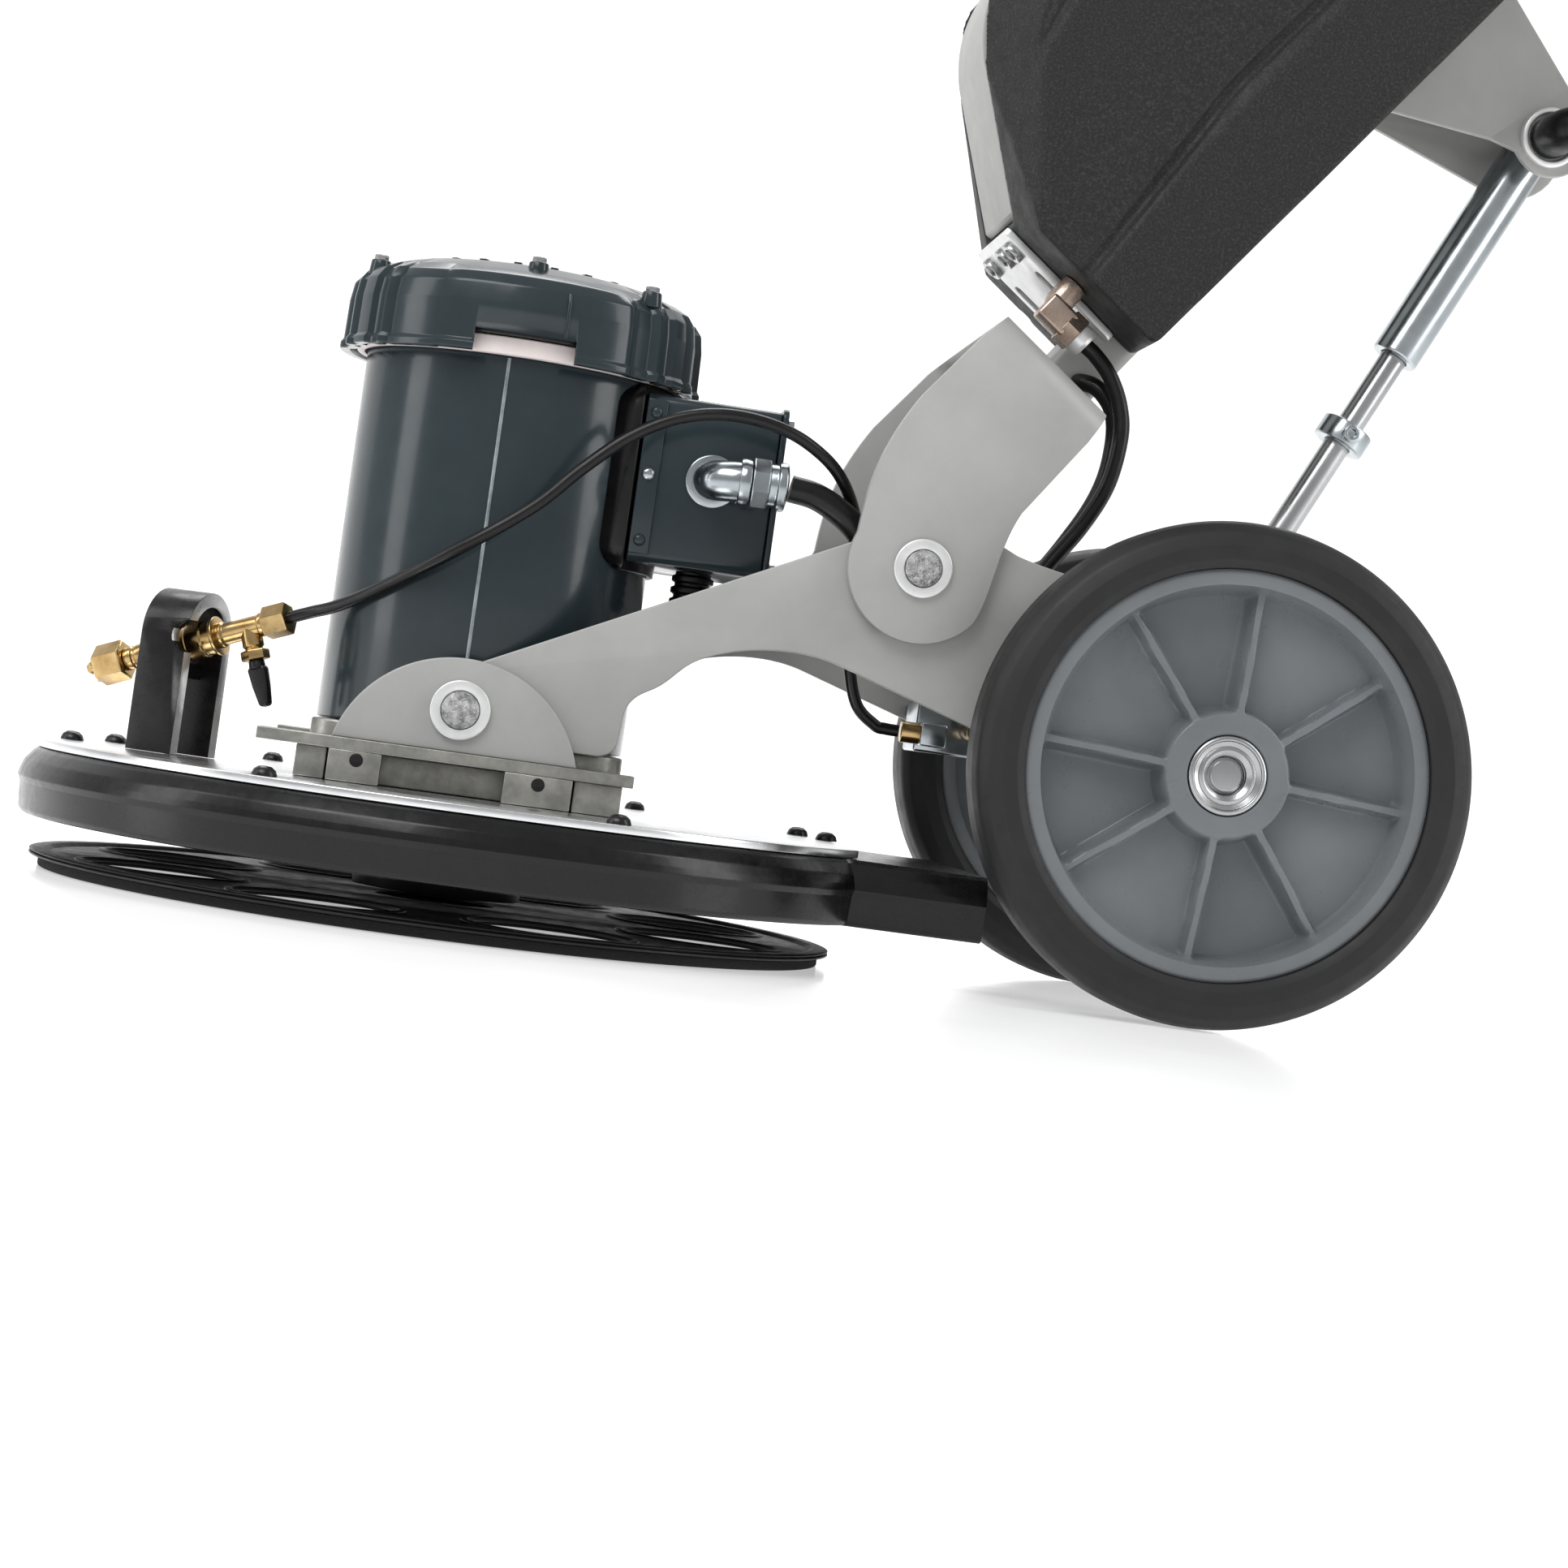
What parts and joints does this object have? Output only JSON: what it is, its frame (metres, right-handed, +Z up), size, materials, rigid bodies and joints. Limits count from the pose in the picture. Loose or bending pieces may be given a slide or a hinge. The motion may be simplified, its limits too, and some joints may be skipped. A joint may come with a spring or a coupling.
{
  "type": "wet scrubbing floor machine",
  "caption": "Orbital wet scrubbing floor machine: round deck with motor, wheeled frame, folding handle with solution tank, spray nozzle.",
  "frame": {"origin": "on the floor under the motor shaft, in the middle of the pad", "axes": "+X from the deck towards the wheels and the operator, +Y towards the far wheel, +Z up"},
  "size_m": [1.0707, 0.452, 1.0672],
  "materials": {
    "motor_paint": "dark blue-grey gloss enamel",
    "frame_paint": "satin light grey powder coat",
    "deck_bright": "polished flat plate",
    "cast_grey": "machined casting, bare",
    "gloss_black": "moulded gloss black",
    "black_paint": "satin black",
    "rubber_black": "matte rubber",
    "tyre_rubber": "satin solid rubber tyre",
    "core_grey": "satin moulded nylon",
    "tank_black": "textured rotomoulded black",
    "zinc": "bright zinc plate",
    "steel": "turned bright",
    "brass": "bare machined",
    "copper": "enamelled winding",
    "fibre": "coarse gripping fibre",
    "cover_grey": "satin light grey"
  },
  "bodies": {
    "deck": {"deck_plate": "deck_bright", "deck_base": "cast_grey", "bumper": "gloss_black", "motor_adapter": "cast_grey", "pivot_bracket_near": "frame_paint", "pivot_bracket_far": "frame_paint", "ear_bolt_near": "zinc", "ear_bolt_far": "zinc", "motor_shell": "motor_paint", "stator": "copper", "fan_cover": "motor_paint", "junction_box": "motor_paint", "junction_cover": "motor_paint", "junction_gasket": "rubber_black", "conduit_elbow": "zinc", "box_plug": "rubber_black", "motor_cable_lower": "rubber_black", "spray_strap": "black_paint", "nozzle_body": "brass", "nozzle_cap": "brass", "spray_hose": "rubber_black"},
    "spray_tap": {"spray_lever": "black_paint"},
    "motor_rotor": {"rotor_shaft": "steel", "cooling_fan": "rubber_black", "eccentric_hub": "black_paint"},
    "orbital_pad": {"driver_bearing": "steel", "pad_driver": "gloss_black", "pad_gripper": "fibre"},
    "frame": {"arm_near": "frame_paint", "arm_far": "frame_paint", "axle_tube": "frame_paint", "axle": "steel", "tilt_shaft": "zinc", "solution_valve": "zinc", "motor_cable_upper": "rubber_black", "feed_hose": "rubber_black"},
    "wheel_near": {"wheel_core_near": "core_grey", "tyre_near": "tyre_rubber", "wheel_bearing_near": "steel"},
    "wheel_far": {"wheel_core_far": "core_grey", "tyre_far": "tyre_rubber", "wheel_bearing_far": "steel"},
    "handle": {"handle_yoke": "frame_paint", "handle_column": "frame_paint", "rear_gusset": "frame_paint", "tank_shell": "tank_black", "front_guard": "cover_grey", "tank_mount_plate": "zinc", "outlet_elbow": "brass", "handle_head": "black_paint", "grip_near": "rubber_black", "grip_far": "rubber_black"},
    "lid": {"tank_lid": "tank_black"},
    "trigger": {"trigger_bar": "black_paint"},
    "button": {"lock_button": "core_grey"},
    "lever": {"lock_lever": "black_paint"},
    "strut_upper": {"strut_tube": "zinc"},
    "strut_lower": {"strut_rod": "steel", "strut_collar": "zinc"}
  },
  "joints": [
    {"name": "motor_spin", "type": "hinge", "parent": "deck", "child": "motor_rotor", "pos_m": [0, 0, 0.1], "axis": [0, 0, 1], "continuous": true},
    {"name": "pad_orbit", "type": "hinge", "parent": "motor_rotor", "child": "orbital_pad", "pos_m": [-0.0063, -0.003, 0.02], "axis": [0, 0, 1], "continuous": true},
    {"name": "spray_tap_turn", "type": "hinge", "parent": "deck", "child": "spray_tap", "pos_m": [-0.11938, -0.01852, 0.1345], "axis": [0.3125, -0.1391, -0.9397], "range_deg": [0, 90]},
    {"name": "deck_pivot", "type": "hinge", "parent": "deck", "child": "frame", "pos_m": [-0.007, 0, 0.107], "axis": [0, 1, 0], "range_deg": [-8, 4], "deforming": ["spray_hose", "motor_cable_lower"]},
    {"name": "wheel_near_spin", "type": "hinge", "parent": "frame", "child": "wheel_near", "pos_m": [0.371, -0.132, 0.127], "axis": [0, 1, 0], "continuous": true},
    {"name": "wheel_far_spin", "type": "hinge", "parent": "frame", "child": "wheel_far", "pos_m": [0.371, 0.132, 0.127], "axis": [0, 1, 0], "continuous": true},
    {"name": "handle_tilt", "type": "hinge", "parent": "frame", "child": "handle", "pos_m": [0.213, 0, 0.21], "axis": [0, 1, 0], "range_deg": [-23, 10], "deforming": ["motor_cable_upper", "feed_hose"]},
    {"name": "strut_swing", "type": "hinge", "parent": "handle", "child": "strut_upper", "pos_m": [0.52968, 0, 0.49461], "axis": [0, 1, 0], "range_deg": [-3, 3]},
    {"name": "strut_extend", "type": "slide", "parent": "strut_upper", "child": "strut_lower", "axis": [-0.4341, 0, -0.9009], "range_m": [-0.04, 0.09]},
    {"name": "lever_turn", "type": "hinge", "parent": "handle", "child": "lever", "pos_m": [0.52968, 0, 0.49461], "axis": [0, 1, 0], "range_deg": [-25, 25]},
    {"name": "lid_hinge", "type": "hinge", "parent": "handle", "child": "lid", "pos_m": [0.48244, 0, 0.66983], "axis": [0, 1, 0], "range_deg": [0, 100]},
    {"name": "trigger_squeeze", "type": "hinge", "parent": "handle", "child": "trigger", "pos_m": [0.78963, 0, 0.96515], "axis": [0, 1, 0], "range_deg": [-9, 0], "stiffness_Nm_per_rad": 2, "springref_deg": 8.59},
    {"name": "lock_button_press", "type": "slide", "parent": "handle", "child": "button", "axis": [-0.5934, 0, -0.8049], "range_m": [0, 0.004], "stiffness_N_per_m": 300, "springref_m": -0.002}
  ],
  "couplings": [
    {"joint": "pad_orbit", "follows": "motor_spin", "ratio": -1},
    {"joint": "strut_swing", "follows": "handle_tilt", "ratio": -0.025},
    {"joint": "strut_extend", "follows": "handle_tilt", "m_per_rad": -0.161}
  ]
}
